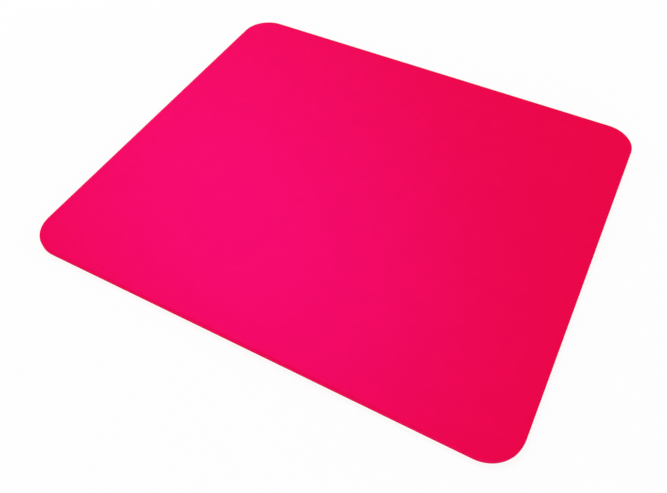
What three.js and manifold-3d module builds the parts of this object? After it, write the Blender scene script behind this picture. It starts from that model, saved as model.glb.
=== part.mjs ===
// Soft mouse pad: a dyed knit face, bonded by a hot-melt film to a sponge-rubber base
// that has zigzag grip grooves moulded into its underside.
// Millimetres, +Z up. The origin is the centre of the underside, where the pad lies on a desk.
// +X runs along the long sides and +Y along the short sides.

import * as THREE from "three";
import { mergeVertices } from "three/addons/utils/BufferGeometryUtils.js";
import Module from "manifold-3d";

// Outline, the same for every layer
const PAD_LENGTH = 230; // along X
const PAD_DEPTH = 200; // along Y
const CORNER_RADIUS = 15;
const CORNER_FLATS = 16; // flats round one corner
const LEAST_RADIUS = 0.5; // of a corner that is drawn in past its own radius

// Layers, from the desk up
const BASE_THICKNESS = 2.4;
const FILM_THICKNESS = 0.12;
const CLOTH_THICKNESS = 0.44;
const BOND_CLEARANCE = 0.02; // between two bonded layers
const RIM_RADIUS = 0.3; // the cutting die presses the upper rim of the cloth round
const RIM_LIMIT = 0.75; // most of the cloth's thickness that the rim may take
const RIM_FLATS = 3;

// Grip grooves in the underside
const BORDER_WIDTH = 4.5; // plain band left all round them
const GROOVE_PITCH = 5; // along Y
const GROOVE_WIDTH = 1.6; // along Y
const GROOVE_DEPTH = 0.45;
const ZIGZAG_RUN = 10; // along X, from one turn to the next
const ZIGZAG_SWING = 3.5; // along Y, from one turn to the next
const CUT_OVERRUN = 1; // a cutting solid stands this far out of what it cuts

const wasm = await Module();
wasm.setup();

// A closed geometry as a solid that can be cut.
function solidOf(geometry) {
  const bare = geometry.clone();
  bare.deleteAttribute("normal");
  bare.deleteAttribute("uv");
  const welded = mergeVertices(bare);
  return new wasm.Manifold(
    new wasm.Mesh({
      numProp: 3,
      vertProperties: welded.attributes.position.array,
      triVerts: welded.index.array,
    }),
  );
}

// A cut solid as a flat-shaded geometry.
function geometryOf(solid) {
  const { vertProperties, triVerts } = solid.getMesh();
  const welded = new THREE.BufferGeometry();
  welded.setAttribute("position", new THREE.BufferAttribute(vertProperties, 3));
  welded.setIndex(new THREE.BufferAttribute(triVerts, 1));
  const flat = welded.toNonIndexed();
  flat.computeVertexNormals();
  return flat;
}

// The pad's rounded rectangle, drawn in by inset on every side.
function padOutline(inset) {
  const radius = Math.max(CORNER_RADIUS - inset, LEAST_RADIUS);
  const x = PAD_LENGTH / 2 - inset - radius;
  const y = PAD_DEPTH / 2 - inset - radius;
  const cornerCentres = [
    [x, -y],
    [x, y],
    [-x, y],
    [-x, -y],
  ];
  const outline = new THREE.Shape();
  cornerCentres.forEach(([centreX, centreY], turn) => {
    const start = ((turn - 1) * Math.PI) / 2;
    outline.absarc(centreX, centreY, radius, start, start + Math.PI / 2);
  });
  outline.closePath();
  return outline;
}

// A flat sheet of the pad's outline, standing on z = 0. An arc gets twice curveSegments flats.
function sheet(inset, thickness, edge = { bevelEnabled: false }) {
  return new THREE.ExtrudeGeometry(padOutline(inset), {
    depth: thickness,
    curveSegments: CORNER_FLATS / 2,
    ...edge,
  });
}

// The knit face: flat below, with its upper rim pressed round.
function clothGeometry() {
  const rim = Math.min(RIM_RADIUS, RIM_LIMIT * CLOTH_THICKNESS);
  const roundedBothWays = sheet(0, CLOTH_THICKNESS - rim, {
    bevelThickness: rim,
    bevelSize: rim,
    bevelOffset: -rim,
    bevelSegments: RIM_FLATS,
  });
  const below = new THREE.BoxGeometry(
    PAD_LENGTH + 2 * CUT_OVERRUN,
    PAD_DEPTH + 2 * CUT_OVERRUN,
    2 * CUT_OVERRUN,
  );
  below.translate(0, 0, -CUT_OVERRUN);
  return geometryOf(solidOf(roundedBothWays).subtract(solidOf(below)));
}

// The melted film, cut flush with the layers that it bonds.
function filmGeometry() {
  return sheet(0, FILM_THICKNESS);
}

// One zigzag band along X, centred on the height y and running past both ends of the pad.
function grooveBand(y) {
  const turns = 2 * Math.ceil(PAD_LENGTH / 2 / ZIGZAG_RUN) + 2;
  const side = (offset) =>
    Array.from({ length: turns }, (_, turn) => {
      const swing = turn % 2 ? ZIGZAG_SWING / 2 : -ZIGZAG_SWING / 2;
      return new THREE.Vector2((turn - (turns - 1) / 2) * ZIGZAG_RUN, y + swing + offset);
    });
  const near = side(-GROOVE_WIDTH / 2);
  const far = side(GROOVE_WIDTH / 2).reverse();
  const band = new THREE.ExtrudeGeometry(new THREE.Shape([...near, ...far]), {
    depth: GROOVE_DEPTH + CUT_OVERRUN,
    bevelEnabled: false,
  });
  band.translate(0, 0, -CUT_OVERRUN);
  return solidOf(band);
}

// All the grooves, in pairs about a land that runs through the middle of the pad.
function grooves() {
  const room = PAD_DEPTH - 2 * BORDER_WIDTH - ZIGZAG_SWING - GROOVE_WIDTH;
  const pairs = Math.floor((room / GROOVE_PITCH + 1) / 2);
  const bands = [];
  for (let pair = 0; pair < pairs; pair += 1) {
    const y = (pair + 0.5) * GROOVE_PITCH;
    bands.push(grooveBand(-y), grooveBand(y));
  }
  const field = sheet(BORDER_WIDTH, GROOVE_DEPTH + 2 * CUT_OVERRUN);
  field.translate(0, 0, -2 * CUT_OVERRUN);
  return bands.reduce((all, band) => all.add(band)).intersect(solidOf(field));
}

// The sponge base: a slab with the grooves taken out of its underside.
function baseGeometry() {
  return geometryOf(solidOf(sheet(0, BASE_THICKNESS)).subtract(grooves()));
}

// One layer of the pad, with its underside at the height z.
function layer(name, geometry, finish, z) {
  const mesh = new THREE.Mesh(geometry, new THREE.MeshStandardMaterial(finish));
  mesh.name = name;
  mesh.position.z = z;
  return mesh;
}

const spongeFinish = { color: 0xe60a5a, roughness: 0.9, metalness: 0 };
const filmFinish = { color: 0xe72761, roughness: 0.5, metalness: 0 };
const clothFinish = { color: 0xf00a60, roughness: 0.85, metalness: 0 };

const filmHeight = BASE_THICKNESS + BOND_CLEARANCE;
const clothHeight = filmHeight + FILM_THICKNESS + BOND_CLEARANCE;

const mousePad = new THREE.Group();
mousePad.add(
  layer("sponge_base", baseGeometry(), spongeFinish, 0),
  layer("adhesive_film", filmGeometry(), filmFinish, filmHeight),
  layer("cloth_top", clothGeometry(), clothFinish, clothHeight),
);

export default mousePad;
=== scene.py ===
"""A soft mouse pad on a pale floor: a knit face, a melted bond film and a grooved sponge base.

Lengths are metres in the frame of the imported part: +X along the long sides, +Z up, and the
origin at the centre of the underside. Each layer is modelled in the space of its own solid.
Colours are linear.
"""

import logging
import math
from dataclasses import dataclass, field, replace
from enum import Enum
from itertools import pairwise, product
from typing import Any, Union

import bmesh
import bpy
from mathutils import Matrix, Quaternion, Vector, noise
from mathutils.geometry import delaunay_2d_cdt


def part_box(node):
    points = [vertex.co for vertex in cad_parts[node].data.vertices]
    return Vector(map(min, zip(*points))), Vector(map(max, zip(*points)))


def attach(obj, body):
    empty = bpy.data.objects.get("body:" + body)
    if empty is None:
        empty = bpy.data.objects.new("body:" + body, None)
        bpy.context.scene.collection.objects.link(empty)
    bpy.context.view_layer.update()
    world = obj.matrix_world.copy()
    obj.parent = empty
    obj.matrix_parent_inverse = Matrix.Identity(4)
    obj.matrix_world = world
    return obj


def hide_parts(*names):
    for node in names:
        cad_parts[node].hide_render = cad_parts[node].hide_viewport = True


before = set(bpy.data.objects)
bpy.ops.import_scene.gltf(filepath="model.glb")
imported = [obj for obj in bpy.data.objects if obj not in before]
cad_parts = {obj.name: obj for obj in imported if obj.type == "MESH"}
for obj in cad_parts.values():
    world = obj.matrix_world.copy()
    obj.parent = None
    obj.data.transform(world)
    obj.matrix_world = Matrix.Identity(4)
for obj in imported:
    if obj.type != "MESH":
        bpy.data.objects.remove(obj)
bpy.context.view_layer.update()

LOG = logging.getLogger("mouse_pad")
BODY = "root"
MM = 0.001
TOUCH = 1e-6  # places closer than this are the same
HALVINGS = 24  # of a line, in the search for where it crosses the outline
INSIDE_RIM = 1  # the triangulation keeps only what lies inside its rim
MIX_SHARE, MIX_START, MIX_END, MIX_RESULT = 0, 6, 7, 2  # sockets of the Mix node for colours
MEAN_NOISE = 0.5
FINE_DETAIL = 3.0

Triple = tuple[float, float, float]
Colour = Triple
Bounds = tuple[float, float]
Profile = list[tuple[float, float]]
Ring = list[bmesh.types.BMVert]
Number = Union[float, "Signal"]

WHITE: Colour = (1.0, 1.0, 1.0)
DULL_TINT: Colour = (0.9, 0.015, 0.4)  # of light that glances off dyed rubber and film


class Node(Enum):
    """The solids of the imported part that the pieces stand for."""

    CLOTH = "cloth_top"
    FILM = "adhesive_film"
    BASE = "sponge_base"


class Slot(Enum):
    """The record's material slots, one for each layer."""

    CLOTH = "knit_cloth"
    FILM = "melt_film"
    BASE = "sponge_rubber"


class Ray(Enum):
    """Kinds of light ray that see the backdrop as plain white."""

    CAMERA = "Is Camera Ray"
    GLOSSY = "Is Glossy Ray"
    TRANSMISSION = "Is Transmission Ray"


class Signal:
    """A shader socket that takes part in Python expressions, which add Math nodes."""

    def __init__(self, recipe: "Recipe", socket: bpy.types.NodeSocket) -> None:
        """Wraps one socket of a recipe's tree."""
        self.recipe = recipe
        self.socket = socket

    def _math(self, operation: str, *values: Number) -> "Signal":
        """One Math node on the given values."""
        return self.recipe.add("ShaderNodeMath", {"operation": operation}, dict(enumerate(values)))

    def __add__(self, other: Number) -> "Signal":
        """The sum."""
        return self._math("ADD", self, other)

    def __radd__(self, other: Number) -> "Signal":
        """The sum, with the number first."""
        return self._math("ADD", other, self)

    def __sub__(self, other: Number) -> "Signal":
        """The difference."""
        return self._math("SUBTRACT", self, other)

    def __rsub__(self, other: Number) -> "Signal":
        """The difference, with the number first."""
        return self._math("SUBTRACT", other, self)

    def __mul__(self, other: Number) -> "Signal":
        """The product."""
        return self._math("MULTIPLY", self, other)

    def __rmul__(self, other: Number) -> "Signal":
        """The product, with the number first."""
        return self._math("MULTIPLY", other, self)

    def __truediv__(self, other: Number) -> "Signal":
        """The quotient."""
        return self._math("DIVIDE", self, other)

    def __rtruediv__(self, other: Number) -> "Signal":
        """The quotient, with the number first."""
        return self._math("DIVIDE", other, self)

    def __abs__(self) -> "Signal":
        """The size without its sign."""
        return self._math("ABSOLUTE", self)

    def fraction(self) -> "Signal":
        """What is left after the whole number below is taken off."""
        return self._math("FRACT", self)

    def root(self) -> "Signal":
        """The square root."""
        return self._math("SQRT", self)

    def larger(self, other: Number) -> "Signal":
        """The larger of two values."""
        return self._math("MAXIMUM", self, other)

    def eased(self, low: float, high: float) -> "Signal":
        """A smooth climb from 0 at low to 1 at high."""
        span = {"Value": self, "From Min": low, "From Max": high}
        return self.recipe.add("ShaderNodeMapRange", {"interpolation_type": "SMOOTHSTEP"}, span)

    def axis(self, name: str) -> "Signal":
        """One coordinate of a position, by its letter."""
        return self.recipe.add("ShaderNodeSeparateXYZ", inputs={0: self}, output=name)

    def length(self) -> "Signal":
        """Distance of a position from the origin."""
        return self.recipe.add("ShaderNodeVectorMath", {"operation": "LENGTH"}, {0: self}, "Value")

    def scaled(self, factors: Triple) -> "Signal":
        """A position with each coordinate multiplied, for marks that are longer one way."""
        return self.recipe.add("ShaderNodeVectorMath", {"operation": "MULTIPLY"}, {0: self, 1: factors})


class Recipe:
    """A node tree under construction."""

    def __init__(self, tree: bpy.types.NodeTree) -> None:
        """Empties the node tree of a material or a world, and starts on it."""
        self.tree = tree
        self.tree.nodes.clear()

    def add(
        self,
        kind: str,
        settings: dict[str, Any] | None = None,
        inputs: dict[str | int, Any] | None = None,
        output: str | int = 0,
    ) -> Signal:
        """Adds any node to the tree.

        Args:
            kind: the node's type, such as ShaderNodeMath.
            settings: properties of the node, set before its sockets.
            inputs: a value, colour or Signal for each named or numbered input socket.
            output: the name or number of the output to hand back.

        Returns:
            The chosen output as a Signal. A node with no output gives its first input.
        """
        node = self.tree.nodes.new(kind)
        for name, value in (settings or {}).items():
            setattr(node, name, value)
        for key, value in (inputs or {}).items():
            socket = node.inputs[key]
            if isinstance(value, Signal):
                self.tree.links.new(value.socket, socket)
            elif socket.type == "RGBA":
                socket.default_value = (*value, 1.0)
            else:
                socket.default_value = value
        return Signal(self, node.outputs[output] if node.outputs else node.inputs[0])

    def tint(self, share: Number, start: Colour | Signal, end: Colour | Signal) -> Signal:
        """A colour between two others: the first at a share of 0, the second at a share of 1."""
        colours = {MIX_SHARE: share, MIX_START: start, MIX_END: end}
        return self.add("ShaderNodeMix", {"data_type": "RGBA"}, colours, MIX_RESULT)

    def speckle(self, place: Signal, size: float, detail: float = 2.0) -> Signal:
        """Soft random variation about MEAN_NOISE, in patches of roughly the given size."""
        look = {"Vector": place, "Scale": 1 / size, "Detail": detail}
        return self.add("ShaderNodeTexNoise", inputs=look)

    def cells(self, place: Signal, spacing: float) -> Signal:
        """Distance to the nearest of a scatter of points, in units of their rough spacing."""
        look = {"Vector": place, "Scale": 1 / spacing}
        return self.add("ShaderNodeTexVoronoi", inputs=look, output="Distance")

    def dented(self, height: Signal, depth: float, strength: float) -> Signal:
        """A surface normal bent by a relief, whose height runs from 0 to 1 over its real depth."""
        relief = {"Strength": strength, "Distance": depth, "Height": height}
        return self.add("ShaderNodeBump", inputs=relief)

    def body(self, values: dict[str, Any]) -> Signal:
        """A Principled shader with the given sockets."""
        return self.add("ShaderNodeBsdfPrincipled", inputs=values)

    def overlay(self, share: Signal, under: Signal, over: Signal) -> Signal:
        """One shader over another. The upper one shows by a share of 0 to 1."""
        return self.add("ShaderNodeMixShader", inputs={0: share, 1: under, 2: over})

    def backdrop_rays(self) -> Signal:
        """1 for the kinds of ray in Ray, and 0 for the rays that light the object."""
        seen = [self.add("ShaderNodeLightPath", output=ray.value) for ray in Ray]
        return seen[0].larger(seen[1]).larger(seen[2])


@dataclass(frozen=True)
class PadOutline:
    """The rounded rectangle that every layer is cut to, centred on the origin.

    Attributes:
        half_length: half of the long side, along X.
        half_depth: half of the short side, along Y.
        corner_radius: radius of the corners.
        corner_steps: faces round each corner.
        side_step: longest face along a straight side.
    """

    half_length: float
    half_depth: float
    corner_radius: float
    corner_steps: int = 16
    side_step: float = 2.5 * MM

    @classmethod
    def of_solid(cls, node: Node) -> "PadOutline":
        """Measures the outline of a layer's solid.

        Args:
            node: the layer.

        Returns:
            The outline, with the corner radius found where the end wall stops being straight.
        """
        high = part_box(node.value)[1]
        points = [vertex.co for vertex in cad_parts[node.value].data.vertices]
        straight = max(point.y for point in points if point.x > high.x - TOUCH)
        return cls(high.x, high.y, high.y - straight)

    @property
    def middle(self) -> tuple[float, float]:
        """Half sizes of the rectangle between the corners' centres."""
        return self.half_length - self.corner_radius, self.half_depth - self.corner_radius

    @property
    def counts(self) -> tuple[int, int]:
        """Faces along a long side and along a short side."""
        across, deep = self.middle
        return math.ceil(2 * across / self.side_step), math.ceil(2 * deep / self.side_step)

    @property
    def flat_area(self) -> float:
        """Area inside the outline."""
        box = 4 * self.half_length * self.half_depth
        return box - (4 - math.pi) * self.corner_radius**2

    def corner(self, turn: int) -> Vector:
        """Centre of a corner, counted from the right front, anticlockwise seen from above."""
        across, deep = self.middle
        return Vector((across if turn % 4 in (0, 1) else -across, deep if turn % 4 in (1, 2) else -deep))

    def loop(self, inset: float) -> list[Vector]:
        """The outline drawn in on every side.

        Args:
            inset: how far in, up to the corner radius.

        Returns:
            Points in order, anticlockwise seen from above, from the right front corner.
        """
        radius = self.corner_radius - inset
        points: list[Vector] = []
        for turn in range(4):
            for step in range(self.corner_steps + 1):
                angle = (turn - 1 + step / self.corner_steps) * math.pi / 2
                points.append(self.corner(turn) + radius * Vector((math.cos(angle), math.sin(angle))))
            last = points[-1].copy()
            along = self.corner(turn + 1) - self.corner(turn)
            faces = self.counts[1 - turn % 2]
            points.extend(last + along * (step / faces) for step in range(1, faces))
        return points

    def inset_at(self, x: float, y: float) -> float:
        """How far a point lies inside the outline.

        Args:
            x: the point's place along the long sides.
            y: its place along the short sides.

        Returns:
            The distance to the outline, below 0 outside it.
        """
        across, deep = self.middle
        out = Vector((abs(x) - across, abs(y) - deep))
        round_part = Vector((max(out.x, 0.0), max(out.y, 0.0))).length
        return self.corner_radius - round_part - min(max(out.x, out.y), 0.0)

    def near_edge(self, place: Signal, width: float) -> Signal:
        """A smooth climb towards the outline.

        Args:
            place: the position on a piece, in metres.
            width: how far inside the outline the climb starts.

        Returns:
            0 inside that band, and 1 on the outline.
        """
        across, deep = self.middle
        out_x = (abs(place.axis("X")) - across).larger(0.0)
        out_y = (abs(place.axis("Y")) - deep).larger(0.0)
        from_middle = (out_x * out_x + out_y * out_y).root()
        return from_middle.eased(self.corner_radius - width, self.corner_radius)

    def clipped(self, start: Vector, end: Vector, inset: float) -> tuple[Vector, Vector] | None:
        """The part of a straight line that lies inside the outline drawn in.

        Args:
            start: one end of the line.
            end: the other end.
            inset: how far the outline is drawn in.

        Returns:
            The two ends of that part, or None if both ends of the line lie outside.
        """
        kept, cut = sorted((start, end), key=lambda spot: -self.inset_at(*spot))
        if self.inset_at(*kept) < inset:
            return None
        if self.inset_at(*cut) >= inset:
            return kept, cut
        inside, outside = 0.0, 1.0
        for _ in range(HALVINGS):
            share = (inside + outside) / 2
            if self.inset_at(*kept.lerp(cut, share)) >= inset:
                inside = share
            else:
                outside = share
        return kept, kept.lerp(cut, inside)


@dataclass(frozen=True)
class DyeGloss:
    """Light that glances off a dyed surface and takes up its colour.

    Attributes:
        tint: colour of the glancing light.
        roughness: how widely it spreads.
        share: how much of the surface shows it.
    """

    tint: Colour = (0.9, 0.015, 1.0)
    roughness: float = 0.43
    share: float = 0.034

    def over(self, recipe: Recipe, body: Signal, cover: Signal, normal: Signal) -> Signal:
        """Lays the gloss over a matte shader.

        Args:
            recipe: the tree to build it in.
            body: the matte shader.
            cover: how much more or less of the gloss a spot shows, about 1.
            normal: the surface normal.

        Returns:
            The mixed shader.
        """
        gloss = recipe.body(
            {"Base Color": self.tint, "Metallic": 1.0, "Roughness": self.roughness, "Normal": normal}
        )
        return recipe.overlay(cover * self.share, body, gloss)


@dataclass(frozen=True)
class Finish:
    """What every finish has.

    Attributes:
        name: the material's name.
        outline: the outline of the layer that it covers, where it follows the edge.
    """

    name: str
    outline: PadOutline | None = None

    def material(self) -> bpy.types.Material:
        """Builds the finish.

        Returns:
            A new material with its node tree.
        """
        made = bpy.data.materials.new(self.name)
        made.use_nodes = True
        recipe = Recipe(made.node_tree)
        place = recipe.add("ShaderNodeTexCoord", output="Object")
        surface = self.surface(recipe, place)
        recipe.add("ShaderNodeOutputMaterial", inputs={"Surface": surface})
        return made

    def surface(self, recipe: Recipe, place: Signal) -> Signal:
        """The finish's shader, from the position on the piece in metres."""
        raise NotImplementedError


@dataclass(frozen=True)
class KnitFinish(Finish):
    """Fine dyed jersey: columns of V-shaped stitches with a soft, tinted gloss, painted shade in the
    gaps between the stitches and painted shade along the rim.

    Attributes:
        yarn: colour of the stitches.
        deep_yarn: colour of the yarn where the dye took more.
        gap: painted shade, the darker colour between the stitches.
        rim_shade: painted shade, a darker colour laid along the cloth's rim.
        rim_shade_width: how far in from the edge the painted rim shade reaches.
        wale: width of one column of stitches.
        course: height of one row of stitches.
        slant: how far a stitch's legs climb to its sides, in rows.
        shoulder: height on a stitch, from 0 to 1, at which the yarn shows its full colour, free of the
            painted gap shade.
        relief: depth of the gaps.
        relief_shown: how fully the relief shows.
        patch: width of the dye's faint patches.
        patch_bounds: noise values between which the dye deepens.
        fibre: width of the fibres' unevenness.
        fibre_height: their height beside a stitch's.
        roughness: of the yarn.
        unevenness: how far the fibres' roughness strays from it.
        gloss: the light that glances off the fibres.
        gap_gloss: how much of the gloss a gap shows.
        yarn_gloss: how much more of it a stitch's back shows.
        fuzz: how much light the fibres' loose ends catch.
        fuzz_spread: how widely they throw it.
        fuzz_tint: colour of that light.
    """

    yarn: Colour = (0.895, 0.0018, 0.040)
    deep_yarn: Colour = (0.875, 0.0015, 0.037)
    # Painted shade: the gaps between the stitches are coloured darker than the yarn.
    gap: Colour = (0.765, 0.0011, 0.027)
    # Painted shade: a darker colour along the cloth's rim.
    rim_shade: Colour = (0.80, 0.0014, 0.047)
    rim_shade_width: float = 1.0 * MM
    wale: float = 0.55 * MM
    course: float = 0.58 * MM
    slant: float = 1.1
    shoulder: float = 0.45
    relief: float = 0.05 * MM
    relief_shown: float = 0.35
    patch: float = 7 * MM
    patch_bounds: Bounds = (0.3, 0.7)
    fibre: float = 0.25 * MM
    fibre_height: float = 0.3
    roughness: float = 0.85
    unevenness: float = 0.1
    gloss: DyeGloss = DyeGloss()
    gap_gloss: float = 0.8
    yarn_gloss: float = 0.45
    fuzz: float = 0.08
    fuzz_spread: float = 0.5
    fuzz_tint: Colour = (1.0, 0.05, 0.55)

    def stitch(self, place: Signal) -> Signal:
        """The height of the yarn. A column has two legs, halfway between its middle and its sides.

        Args:
            place: the position on the cloth, in metres.

        Returns:
            0 in a gap, and 1 on a stitch's back.
        """
        from_middle = abs((place.axis("X") / self.wale).fraction() - 0.5)
        from_leg = from_middle * 4 - 1
        from_row = (place.axis("Y") / self.course + from_middle * self.slant).fraction() * 2 - 1
        return (1 - from_leg * from_leg) * (1 - from_row * from_row)

    def surface(self, recipe: Recipe, place: Signal) -> Signal:
        """Stitches as relief, colour with painted shade in the gaps, and gloss on a matte cloth, with
        painted shade along the rim.

        Args:
            recipe: the tree to build it in.
            place: the position on the cloth, in metres.

        Returns:
            The shader socket.
        """
        stitch = self.stitch(place)
        fibre = recipe.speckle(place, self.fibre)
        dye = recipe.speckle(place, self.patch, FINE_DETAIL).eased(*self.patch_bounds)
        yarn = recipe.tint(dye, self.yarn, self.deep_yarn)
        # Painted shade: the colour darkens from the yarn's to the gap's down each stitch.
        knit = recipe.tint(stitch.eased(0.0, self.shoulder), self.gap, yarn)
        # Painted shade: the cloth's colour darkens over the last rim width before its edge.
        rim = self.outline.near_edge(place, self.rim_shade_width)
        normal = recipe.dented(stitch + fibre * self.fibre_height, self.relief, self.relief_shown)
        cloth = recipe.body(
            {
                "Base Color": recipe.tint(rim, knit, self.rim_shade),
                "Roughness": self.roughness + (fibre - MEAN_NOISE) * self.unevenness,
                "Specular IOR Level": 0.0,
                "Sheen Weight": self.fuzz,
                "Sheen Roughness": self.fuzz_spread,
                "Sheen Tint": self.fuzz_tint,
                "Normal": normal,
            }
        )
        return self.gloss.over(recipe, cloth, self.gap_gloss + stitch * self.yarn_gloss, normal)


@dataclass(frozen=True)
class SpongeFinish(Finish):
    """Dyed sponge rubber: fine cells opened by the cut, and the die's faint drag lines, with painted
    shade in the cells' pits and along the wall's foot.

    Attributes:
        rubber: colour of the rubber.
        pit: painted shade, the darker colour down in an opened cell.
        foot_shade: painted shade, a darker colour along the wall's lower edge, where it meets the floor.
        foot_shade_height: how far up the wall the painted shade reaches.
        cell: spacing of the cells.
        cell_bounds: distances from a cell's middle, in spacings, where its wall starts and ends.
        drag: width of the drag lines, which run down the cut wall.
        drag_length: how many times longer they are than wide.
        relief: depth of an opened cell.
        relief_shown: how fully the relief shows.
        roughness: of the rubber.
        unevenness: how far the roughness strays from it.
        gloss: the light that glances off the rubber's skin.
        pit_gloss: how much of the gloss a pit shows.
        skin_gloss: how much more of it the skin shows.
    """

    rubber: Colour = (0.79, 0.003, 0.084)
    # Painted shade: the opened cells' pits are coloured darker than the rubber.
    pit: Colour = (0.70, 0.002, 0.066)
    # Painted shade: a darker colour along the foot of the cut wall, where it meets the floor.
    foot_shade: Colour = (0.58, 0.002, 0.062)
    foot_shade_height: float = 0.7 * MM
    cell: float = 0.3 * MM
    cell_bounds: Bounds = (0.1, 0.4)
    drag: float = 0.5 * MM
    drag_length: float = 8.0
    relief: float = 0.06 * MM
    relief_shown: float = 0.4
    roughness: float = 0.88
    unevenness: float = 0.15
    gloss: DyeGloss = DyeGloss(DULL_TINT, share=0.035)
    pit_gloss: float = 0.5
    skin_gloss: float = 0.5

    def surface(self, recipe: Recipe, place: Signal) -> Signal:
        """Cells and drag lines as relief and colour on matte rubber, with painted shade in the pits and
        at the foot of the wall.

        Args:
            recipe: the tree to build it in.
            place: the position on the base, in metres.

        Returns:
            The shader socket.
        """
        wall = recipe.cells(place, self.cell).eased(*self.cell_bounds)
        drawn_out = place.scaled((1.0, 1.0, 1 / self.drag_length))
        drag = recipe.speckle(drawn_out, self.drag, FINE_DETAIL)
        normal = recipe.dented(wall + drag, self.relief, self.relief_shown)
        # Painted shade: the wall darkens towards its foot, near the outline and the underside.
        at_edge = self.outline.near_edge(place, self.foot_shade_height)
        at_foot = 1 - place.axis("Z").eased(0.0, self.foot_shade_height)
        # Painted shade: darker colour down in each cell, by the same heights as the relief.
        sponge = recipe.tint(wall, self.pit, self.rubber)
        rubber = recipe.body(
            {
                "Base Color": recipe.tint(at_edge * at_foot, sponge, self.foot_shade),
                "Roughness": self.roughness + (drag - MEAN_NOISE) * self.unevenness,
                "Specular IOR Level": 0.0,
                "Normal": normal,
            }
        )
        return self.gloss.over(recipe, rubber, self.pit_gloss + wall * self.skin_gloss, normal)


@dataclass(frozen=True)
class FilmFinish(Finish):
    """Melted bonding film, cloudy with the dye that bled into it.

    Attributes:
        melt: colour of the film.
        bleed: colour where more dye bled in.
        cloud: width of the cloudy patches.
        cloud_bounds: noise values between which the dye thickens.
        ripple: depth of the film's waves, which lie with the clouds.
        ripple_shown: how fully they show.
        roughness: of the film where it is clearest.
        haze: how much rougher the clouds are.
        gloss: the light that glances off the film.
        clear_gloss: how much of the gloss the clearest film shows.
    """

    melt: Colour = (0.80, 0.007, 0.098)
    bleed: Colour = (0.74, 0.004, 0.078)
    cloud: float = 1.5 * MM
    cloud_bounds: Bounds = (0.35, 0.65)
    ripple: float = 0.02 * MM
    ripple_shown: float = 0.4
    roughness: float = 0.45
    haze: float = 0.2
    gloss: DyeGloss = DyeGloss(DULL_TINT, roughness=0.3, share=0.06)
    clear_gloss: float = 1.5

    def surface(self, recipe: Recipe, place: Signal) -> Signal:
        """Cloudy dye in a smooth, slightly wavy film.

        Args:
            recipe: the tree to build it in.
            place: the position on the film, in metres.

        Returns:
            The shader socket.
        """
        cloud = recipe.speckle(place, self.cloud)
        normal = recipe.dented(cloud, self.ripple, self.ripple_shown)
        film = recipe.body(
            {
                "Base Color": recipe.tint(cloud.eased(*self.cloud_bounds), self.melt, self.bleed),
                "Roughness": self.roughness + cloud * self.haze,
                "Specular IOR Level": 0.0,
                "Normal": normal,
            }
        )
        return self.gloss.over(recipe, film, self.clear_gloss - cloud, normal)


@dataclass(frozen=True)
class FloorFinish(Finish):
    """Pale studio paper that photographs white but keeps a faint shadow.

    Attributes:
        paper: colour of the paper, which also lights the pad's walls.
        mottle: colour of the paper's faint patches.
        patch: width of the patches.
        whiteness: share of plain white that the camera sees in place of the lit paper.
        shade_reach: how far from the pad's middle the lit paper shows at all.
        shade_core: how far it shows in full.
    """

    paper: Colour = (0.94, 0.94, 0.94)
    mottle: Colour = (0.92, 0.92, 0.92)
    patch: float = 40 * MM
    whiteness: float = 0.9
    shade_reach: float = 0.8
    shade_core: float = 0.16

    def surface(self, recipe: Recipe, place: Signal) -> Signal:
        """Lit paper, lifted towards white for the camera's rays.

        Args:
            recipe: the tree to build it in.
            place: the position on the floor, in metres.

        Returns:
            The shader socket.
        """
        shade = recipe.tint(recipe.speckle(place, self.patch), self.paper, self.mottle)
        lit = recipe.add("ShaderNodeBsdfDiffuse", inputs={"Color": shade})
        white = recipe.add("ShaderNodeEmission", inputs={"Color": WHITE, "Strength": 1.0})
        clear = place.length().eased(self.shade_core, self.shade_reach)
        seen = recipe.backdrop_rays() * (self.whiteness + clear * (1 - self.whiteness))
        return recipe.overlay(seen, lit, white)


def put_in_scene(name: str, data: bpy.types.ID) -> bpy.types.Object:
    """Makes an object and puts it in the scene.

    Args:
        name: the object's name.
        data: its mesh, lamp or camera.

    Returns:
        The new object.
    """
    made = bpy.data.objects.new(name, data)
    bpy.context.scene.collection.objects.link(made)
    return made


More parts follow.
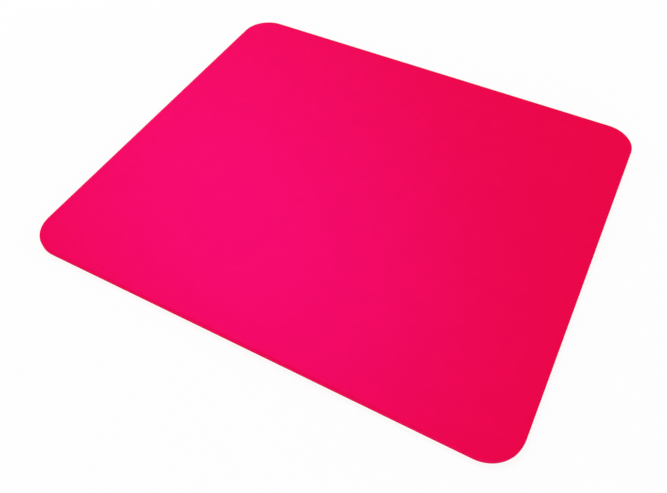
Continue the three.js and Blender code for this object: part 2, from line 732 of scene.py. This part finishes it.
class LayerMesher:
    """Wraps faces round the pad's outline, ring by ring, and closes the middle with a grid.

    Attributes:
        wave_length: length of the soft waves in which a cut edge wanders.
        edge_zone: width of the band at the edge that wanders with it.
    """

    wave_length: float = 6 * MM
    edge_zone: float = 1 * MM

    def __init__(self, outline: PadOutline) -> None:
        """Starts an empty mesh for one layer."""
        self.outline = outline
        self.mesh = bmesh.new()

    def ring(self, inset: float, height: float, wander: float) -> Ring:
        """Adds one ring of vertices.

        Args:
            inset: how far the ring is drawn in from the outline.
            height: its height.
            wander: how far a soft random wave draws it in further, at the cut edge.

        Returns:
            The ring's vertices. At the corner radius each corner is a single vertex.
        """
        at_edge = 1.0 - min(inset / self.edge_zone, 1.0)
        ring: Ring = []
        for point in self.outline.loop(inset):
            wave = noise.noise(Vector((point.x, point.y, height)) / self.wave_length)
            spot = point - point.normalized() * (wander * at_edge * (0.5 + 0.5 * wave))
            if ring and (ring[-1].co.xy - spot).length < TOUCH:
                ring.append(ring[-1])
            else:
                ring.append(self.mesh.verts.new((spot.x, spot.y, height)))
        return ring

    def band(self, first: Ring, second: Ring) -> None:
        """Joins two rings with faces.

        Args:
            first: the ring that comes first in a profile.
            second: the ring after it.
        """
        for index, start in enumerate(first):
            after = (index + 1) % len(first)
            corners = dict.fromkeys((start, first[after], second[after], second[index]))
            if len(corners) > 2:
                self.mesh.faces.new(corners)

    def wrap(self, profile: Profile, wander: float = 0.0) -> list[Ring]:
        """Adds a ring for each step of a profile and joins them.

        Args:
            profile: inset and height of each ring, from the underside round the edge to the top.
            wander: how far a soft random wave draws the cut edge in.

        Returns:
            The rings, in order.
        """
        rings = [self.ring(inset, height, wander) for inset, height in profile]
        for first, second in pairwise(rings):
            self.band(first, second)
        return rings

    def close(self, ring: Ring, facing_up: bool) -> None:
        """Fills the rectangle between the corners' centres with a grid.

        Args:
            ring: the innermost ring, whose corners are single vertices.
            facing_up: whether the grid is the layer's top or its underside.
        """
        columns, rows = self.outline.counts
        walk = [(columns, row) for row in range(rows)]
        walk += [(columns - column, rows) for column in range(columns)]
        walk += [(0, rows - row) for row in range(rows)]
        walk += [(column, 0) for column in range(columns)]
        grid = dict(zip(walk, dict.fromkeys(ring)))
        low, high = self.outline.corner(3), self.outline.corner(1)
        step_x, step_y = (high.x - low.x) / columns, (high.y - low.y) / rows
        for column, row in product(range(1, columns), range(1, rows)):
            spot = (low.x + column * step_x, low.y + row * step_y, ring[0].co.z)
            grid[column, row] = self.mesh.verts.new(spot)
        for column, row in product(range(columns), range(rows)):
            places = ((column, row), (column + 1, row), (column + 1, row + 1), (column, row + 1))
            corners = [grid[place] for place in places]
            self.mesh.faces.new(corners if facing_up else corners[::-1])

    def finish(self, name: str, crease: float) -> bpy.types.Object:
        """Turns the mesh into an object in the scene.

        Args:
            name: the piece's name.
            crease: angle between faces above which an edge stays sharp, in degrees.

        Returns:
            The new object.
        """
        data = bpy.data.meshes.new(name)
        self.mesh.to_mesh(data)
        self.mesh.free()
        data.shade_smooth()
        data.set_sharp_from_angle(angle=math.radians(crease))
        return put_in_scene(name, data)


def smooth_step(share: float) -> float:
    """A smooth climb from 0 to 1, level at both ends and beyond them."""
    held = max(0.0, min(1.0, share))
    return held * held * (3 - 2 * held)


@dataclass
class Layer:
    """One layer of the pad, in the space of its solid.

    Attributes:
        node: the solid that the layer stands for.
        slot: the record's material slot; not used.
        piece_name: the name of its piece.
        finish: the layer's material.
        crease: angle between faces above which an edge stays sharp, in degrees.
        outline: the outline of its solid.
        bottom: height of its underside.
        top: height of its upper face.
    """

    node: Node
    slot: Slot
    piece_name: str
    finish: Finish
    crease: float = 50.0
    outline: PadOutline = field(init=False)
    bottom: float = field(init=False)
    top: float = field(init=False)

    def __post_init__(self) -> None:
        """Takes the layer's outline and heights from its solid."""
        low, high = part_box(self.node.value)
        self.outline = PadOutline.of_solid(self.node)
        self.finish = replace(self.finish, outline=self.outline)
        self.bottom = low.z
        self.top = high.z

    def mesh(self) -> bpy.types.Object:
        """Models the layer as one piece."""
        raise NotImplementedError

    def closed_sheet(self, profile: Profile, wander: float = 0.0) -> bpy.types.Object:
        """Models a sheet that a grid closes above and below.

        Args:
            profile: inset and height of each ring, from the underside round the edge to the top.
            wander: how far a soft random wave draws the cut edge in.

        Returns:
            The layer's piece.
        """
        mesher = LayerMesher(self.outline)
        rings = mesher.wrap(profile, wander)
        mesher.close(rings[0], facing_up=False)
        mesher.close(rings[-1], facing_up=True)
        return mesher.finish(self.piece_name, self.crease)

    def declare(self, piece: bpy.types.Object) -> None:
        """Does nothing with the piece."""

    def build(self) -> bpy.types.Object:
        """Models and dresses the layer, and ties it to the part.

        Returns:
            The layer's piece.
        """
        piece = self.mesh()
        piece.data.materials.append(self.finish.material())
        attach(piece, BODY)
        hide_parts(self.node.value)
        self.declare(piece)
        return piece


@dataclass
class ClothFace(Layer):
    """The knit face, die-cut with the rest, its upper rim squeezed round and slightly down.

    Attributes:
        rim_radius: radius of the squeezed rim.
        rim_steps: faces round the rim.
        rim_drop: how far the face dips towards the rim.
        dip_width: width of the band that dips.
        dip_steps: faces across that band.
        nick: bevel of the lower edge.
    """

    node: Node = Node.CLOTH
    slot: Slot = Slot.CLOTH
    piece_name: str = "knit_face"
    finish: Finish = KnitFinish("pink_knit")
    rim_radius: float = 0.3 * MM
    rim_steps: int = 5
    rim_drop: float = 0.05 * MM
    dip_width: float = 3 * MM
    dip_steps: int = 4
    nick: float = 0.03 * MM

    def mesh(self) -> bpy.types.Object:
        """A closed sheet with a rolled rim.

        Returns:
            The cloth's piece.
        """
        centre = self.outline.corner_radius
        rim_top = self.top - self.rim_drop
        profile: Profile = [
            (centre, self.bottom),
            (self.dip_width, self.bottom),
            (self.nick, self.bottom),
            (0.0, self.bottom + self.nick),
        ]
        for step in range(self.rim_steps + 1):
            angle = step / self.rim_steps * math.pi / 2
            inset = self.rim_radius * (1 - math.cos(angle))
            profile.append((inset, rim_top - self.rim_radius * (1 - math.sin(angle))))
        for step in range(1, self.dip_steps + 1):
            share = step / self.dip_steps
            height = rim_top + smooth_step(share) * self.rim_drop
            profile.append((self.rim_radius + share * self.dip_width, height))
        profile.append((centre, self.top))
        return self.closed_sheet(profile)

    def declare(self, piece: bpy.types.Object) -> None:
        """Does nothing. The layer is a flat-cut sheet, bonded all over to what is under it.

        Args:
            piece: the cloth's piece; not used.
        """


@dataclass
class BondFilm(Layer):
    """The hot-melt film, whose cut edge shrank back a little as it cooled.

    Attributes:
        creep: how far the edge wanders.
        bead: roundness of the edge.
    """

    node: Node = Node.FILM
    slot: Slot = Slot.FILM
    piece_name: str = "bond_film"
    finish: Finish = FilmFinish("melted_film")
    crease: float = 60.0
    creep: float = 0.03 * MM
    bead: float = 0.02 * MM

    def mesh(self) -> bpy.types.Object:
        """A thin closed sheet with a beaded, wandering edge.

        Returns:
            The film's piece.
        """
        centre = self.outline.corner_radius
        profile: Profile = [
            (centre, self.bottom),
            (self.bead, self.bottom),
            (0.0, self.bottom + self.bead),
            (0.0, self.top - self.bead),
            (self.bead, self.top),
            (centre, self.top),
        ]
        return self.closed_sheet(profile, self.creep)


@dataclass
class SpongeBase(Layer):
    """The sponge base: a cut wall, a plain border and zigzag grip grooves in the underside.

    Attributes:
        border: width of the plain band round the grooves.
        pitch: spacing of the grooves, along Y.
        width: width of a groove at the underside, along Y.
        depth: depth of a groove.
        run: length of a zigzag from one turn to the next, along X.
        swing: how far it swings from one turn to the next, along Y.
        slope: width of a groove's sloping side.
        slope_steps: faces across a sloping side.
        overrun: how far the grooves' lines run on into the plain border.
        edge_radius: roundness of the wall's lower edge.
        edge_steps: faces round the lower edge.
        draw_in: how far the cut wall is drawn in halfway up.
        wall_steps: faces up the wall.
        wander: how far the cut wanders.
        weld: how close two points of the underside may lie before they become one.
    """

    node: Node = Node.BASE
    slot: Slot = Slot.BASE
    piece_name: str = "sponge_base_moulded"
    finish: Finish = SpongeFinish("dyed_sponge")
    border: float = 4.5 * MM
    pitch: float = 5 * MM
    width: float = 1.6 * MM
    depth: float = 0.45 * MM
    run: float = 10 * MM
    swing: float = 3.5 * MM
    slope: float = 0.5 * MM
    slope_steps: int = 4
    overrun: float = 1.5 * MM
    edge_radius: float = 0.3 * MM
    edge_steps: int = 3
    draw_in: float = 0.05 * MM
    wall_steps: int = 4
    wander: float = 0.03 * MM
    weld: float = 0.03 * MM

    def rows(self) -> list[float]:
        """Finds room for the grooves, in pairs about the pad's middle.

        Returns:
            Heights along Y of the grooves' middle lines.
        """
        room = 2 * (self.outline.half_depth - self.border) - self.swing - self.width
        pairs = math.floor((room / self.pitch + 1) / 2)
        return [side * (pair + 0.5) * self.pitch for pair in range(pairs) for side in (-1, 1)]

    def turns(self) -> list[Vector]:
        """Places the turns of a zigzag about y = 0 that runs past both ends of the pad.

        Returns:
            The turning points, in order along X.
        """
        count = 2 * math.ceil(self.outline.half_length / self.run) + 2
        return [
            Vector(((turn - (count - 1) / 2) * self.run, self.swing * (turn % 2 - 0.5)))
            for turn in range(count)
        ]

    def zigzag(self, x: float) -> float:
        """The zigzag's height along Y.

        Args:
            x: the place along X.

        Returns:
            The height there.
        """
        turns = self.turns()
        position = (x - turns[0].x) / self.run
        index = math.floor(position)
        return turns[index].lerp(turns[index + 1], position - index).y

    def slope_lines(self) -> list[float]:
        """Distances of the lines across a sloping side from where the slope starts."""
        return [self.slope * step / self.slope_steps for step in range(self.slope_steps + 1)]

    def groove_depth(self, x: float, y: float) -> float:
        """Depth of the underside, with the grooves' sides and ends sloped alike.

        Args:
            x: the place along X.
            y: the place along Y.

        Returns:
            The depth there, 0 between the grooves.
        """
        shifted = y - self.zigzag(x)
        from_middle = min(abs(shifted - row) for row in self.rows())
        across = smooth_step((self.width / 2 - from_middle) / self.slope)
        along = smooth_step((self.outline.inset_at(x, y) - self.border) / self.slope)
        return self.depth * across * along

    def groove_sides(self) -> list[tuple[Vector, Vector]]:
        """Straight lines along every groove's sloping sides, cut off in the plain border.

        Returns:
            The two ends of each line.
        """
        from_middle = [self.width / 2 - line for line in self.slope_lines()]
        offsets = from_middle + [-distance for distance in from_middle]
        sides = []
        for row, offset, (start, end) in product(self.rows(), offsets, pairwise(self.turns())):
            shift = Vector((0.0, row + offset))
            side = self.outline.clipped(start + shift, end + shift, self.border - self.overrun)
            if side:
                sides.append(side)
        return sides

    def underside(self, mesher: LayerMesher, ring: Ring) -> None:
        """Fills the underside inside a ring, with the grooves pressed into it.

        Args:
            mesher: the layer's mesh.
            ring: the ring at the start of the wall's lower edge.
        """
        points = [vertex.co.xy / MM for vertex in ring]
        edges = [(index, (index + 1) % len(ring)) for index in range(len(ring))]
        for line in self.slope_lines():
            start = len(points)
            points.extend(point / MM for point in self.outline.loop(self.border + line))
            count = len(points) - start
            edges.extend((start + index, start + (index + 1) % count) for index in range(count))
        for side in self.groove_sides():
            edges.append((len(points), len(points) + 1))
            points.extend(point / MM for point in side)
        rim = list(range(len(ring)))
        flat, _, faces, sources, *_ = delaunay_2d_cdt(points, edges, [rim], INSIDE_RIM, self.weld / MM)
        placed: Ring = []
        for point, source in zip(flat, sources):
            on_ring = [index for index in source if index < len(ring)]
            if on_ring:
                placed.append(ring[on_ring[0]])
            else:
                x, y = point * MM
                placed.append(mesher.mesh.verts.new((x, y, self.bottom + self.groove_depth(x, y))))
        for face in faces:
            mesher.mesh.faces.new([placed[index] for index in reversed(face)])

    def mesh(self) -> bpy.types.Object:
        """A slab with a cut wall, closed above by a grid and below by the grooved underside.

        Returns:
            The base's piece.
        """
        profile: Profile = []
        for step in range(self.edge_steps + 1):
            angle = step / self.edge_steps * math.pi / 2
            inset = self.edge_radius * (1 - math.sin(angle))
            profile.append((inset, self.bottom + self.edge_radius * (1 - math.cos(angle))))
        wall_foot = self.bottom + self.edge_radius
        for step in range(1, self.wall_steps + 1):
            share = step / self.wall_steps
            inset = self.draw_in * math.sin(share * math.pi)
            profile.append((inset, wall_foot + share * (self.top - self.draw_in - wall_foot)))
        profile += [(self.draw_in, self.top), (self.outline.corner_radius, self.top)]
        mesher = LayerMesher(self.outline)
        rings = mesher.wrap(profile, self.wander)
        mesher.close(rings[-1], facing_up=True)
        self.underside(mesher, rings[0])
        return mesher.finish(self.piece_name, self.crease)

    def declare(self, piece: bpy.types.Object) -> None:
        """Does nothing. The layer is a firm foam pad."""


def away_from_pad(azimuth: float, elevation: float) -> Vector:
    """Direction from the pad to a place round it.

    Args:
        azimuth: degrees round the pad, 0 at the front and 90 at the right.
        elevation: degrees above the floor.

    Returns:
        A vector of length 1.
    """
    turn, rise = math.radians(azimuth), math.radians(elevation)
    flat = math.cos(rise)
    return Vector((math.sin(turn) * flat, -math.cos(turn) * flat, math.sin(rise)))


@dataclass(frozen=True)
class SoftLamp:
    """A softbox.

    Attributes:
        name: its name.
        azimuth: where it stands round the pad, in degrees, 0 at the front and 90 at the right.
        elevation: how high it stands, in degrees.
        power: in watts.
        distance: from the pad's middle.
        size: width and height of its face.
    """

    name: str
    azimuth: float
    elevation: float
    power: float
    distance: float = 1.2
    size: tuple[float, float] = (1.2, 0.6)

    def build(self) -> None:
        """Sets the lamp up, aimed at the pad's middle and unseen by the camera."""
        data = bpy.data.lights.new(self.name, "AREA")
        data.shape = "RECTANGLE"
        data.size, data.size_y = self.size
        data.energy = self.power
        lamp = put_in_scene(self.name, data)
        back = away_from_pad(self.azimuth, self.elevation)
        lamp.location = back * self.distance
        lamp.rotation_mode = "QUATERNION"
        lamp.rotation_quaternion = (-back).to_track_quat("-Z", "Y")
        lamp.visible_camera = False


@dataclass(frozen=True)
class Studio:
    """A pale floor and even light, with a window-like softbox behind the pad and fills round it.

    Attributes:
        floor_size: side of the floor.
        floor_drop: how far the floor lies below the pad, so that no two faces coincide.
        floor_lap: how far the floor reaches in under the pad. It is open inside that.
        floor: the floor's finish.
        sky_level: strength of the even light from all round.
        lamps: the softboxes. The last one lights the underside, for views from below.
    """

    floor_size: float = 6.0
    floor_drop: float = 0.01 * MM
    floor_lap: float = 0.5 * MM
    floor: FloorFinish = FloorFinish("studio_paper")
    sky_level: float = 0.17
    lamps: tuple[SoftLamp, ...] = (
        SoftLamp("window", azimuth=222, elevation=53, power=30, distance=2.2, size=(0.7, 0.7)),
        SoftLamp("front_fill", azimuth=25, elevation=15, power=7.5),
        SoftLamp("left_fill", azimuth=298, elevation=18, power=5),
        SoftLamp("right_fill", azimuth=120, elevation=18, power=5),
        SoftLamp("under_fill", azimuth=150, elevation=-30, power=14),
    )

    def lay_floor(self) -> None:
        """Lays the floor round the pad and a little way in under its edge."""
        half = self.floor_size / 2
        square = [(-half, -half), (half, -half), (half, half), (-half, half)]
        opening = PadOutline.of_solid(Node.BASE).loop(self.floor_lap)
        mesh = bmesh.new()
        for loop in (square, opening):
            ring = [mesh.verts.new((x, y, -self.floor_drop)) for x, y in loop]
            for index, vertex in enumerate(ring):
                mesh.edges.new((ring[index - 1], vertex))
        bmesh.ops.triangle_fill(mesh, use_beauty=True, edges=mesh.edges[:], normal=(0, 0, 1))
        data = bpy.data.meshes.new("floor")
        mesh.to_mesh(data)
        mesh.free()
        data.materials.append(self.floor.material())
        put_in_scene("floor", data)

    def fill_sky(self) -> None:
        """Gives even light from all round, which the backdrop's rays see as white."""
        world = bpy.data.worlds.new("even_sky")
        world.use_nodes = True
        recipe = Recipe(world.node_tree)
        level = self.sky_level + recipe.backdrop_rays() * (1 - self.sky_level)
        sky = recipe.add("ShaderNodeBackground", inputs={"Color": WHITE, "Strength": level})
        recipe.add("ShaderNodeOutputWorld", inputs={"Surface": sky})
        bpy.context.scene.world = world

    def build(self) -> None:
        """Lays the floor, fills the sky and sets up the lamps."""
        self.lay_floor()
        self.fill_sky()
        for lamp in self.lamps:
            lamp.build()
        LOG.info("studio: floor, sky and %d lamps", len(self.lamps))


@dataclass(frozen=True)
class PhotoCamera:
    """The camera at the photograph's viewing angle.

    Attributes:
        aim: the point on the floor in the middle of the picture.
        azimuth: where it stands round the pad, in degrees.
        elevation: how high it stands, in degrees.
        distance: from the aim.
        roll: turn about the line of sight, in degrees.
        lens: focal length in millimetres.
        film_width: width of the frame in millimetres.
        nearest: closest distance that it shows.
    """

    aim: Triple = (9.62 * MM, -36.57 * MM, 0.0)
    azimuth: float = 28.3
    elevation: float = 51.45
    distance: float = 301.5 * MM
    roll: float = -0.41
    lens: float = 35.86
    film_width: float = 36.0
    nearest: float = 10 * MM

    def build(self) -> None:
        """Sets the scene's camera."""
        data = bpy.data.cameras.new("photo_camera")
        data.lens = self.lens
        data.sensor_width = self.film_width
        data.clip_start = self.nearest
        camera = put_in_scene("photo_camera", data)
        back = away_from_pad(self.azimuth, self.elevation)
        camera.location = Vector(self.aim) + back * self.distance
        camera.rotation_mode = "QUATERNION"
        upright = (-back).to_track_quat("-Z", "Y")
        camera.rotation_quaternion = upright @ Quaternion((0, 0, 1), math.radians(self.roll))
        bpy.context.scene.camera = camera
        LOG.info("camera: %.0f mm lens", self.lens)


def main() -> None:
    """Builds the camera, the pad layer by layer, and the studio, and reports each piece."""
    logging.basicConfig(level=logging.INFO)
    bpy.context.scene.view_settings.view_transform = "Standard"
    PhotoCamera().build()
    for layer in (SpongeBase(), BondFilm(), ClothFace()):
        piece = layer.build()
        LOG.info("%s: %d faces", piece.name, len(piece.data.polygons))
    Studio().build()


if __name__ == "__main__":
    main()
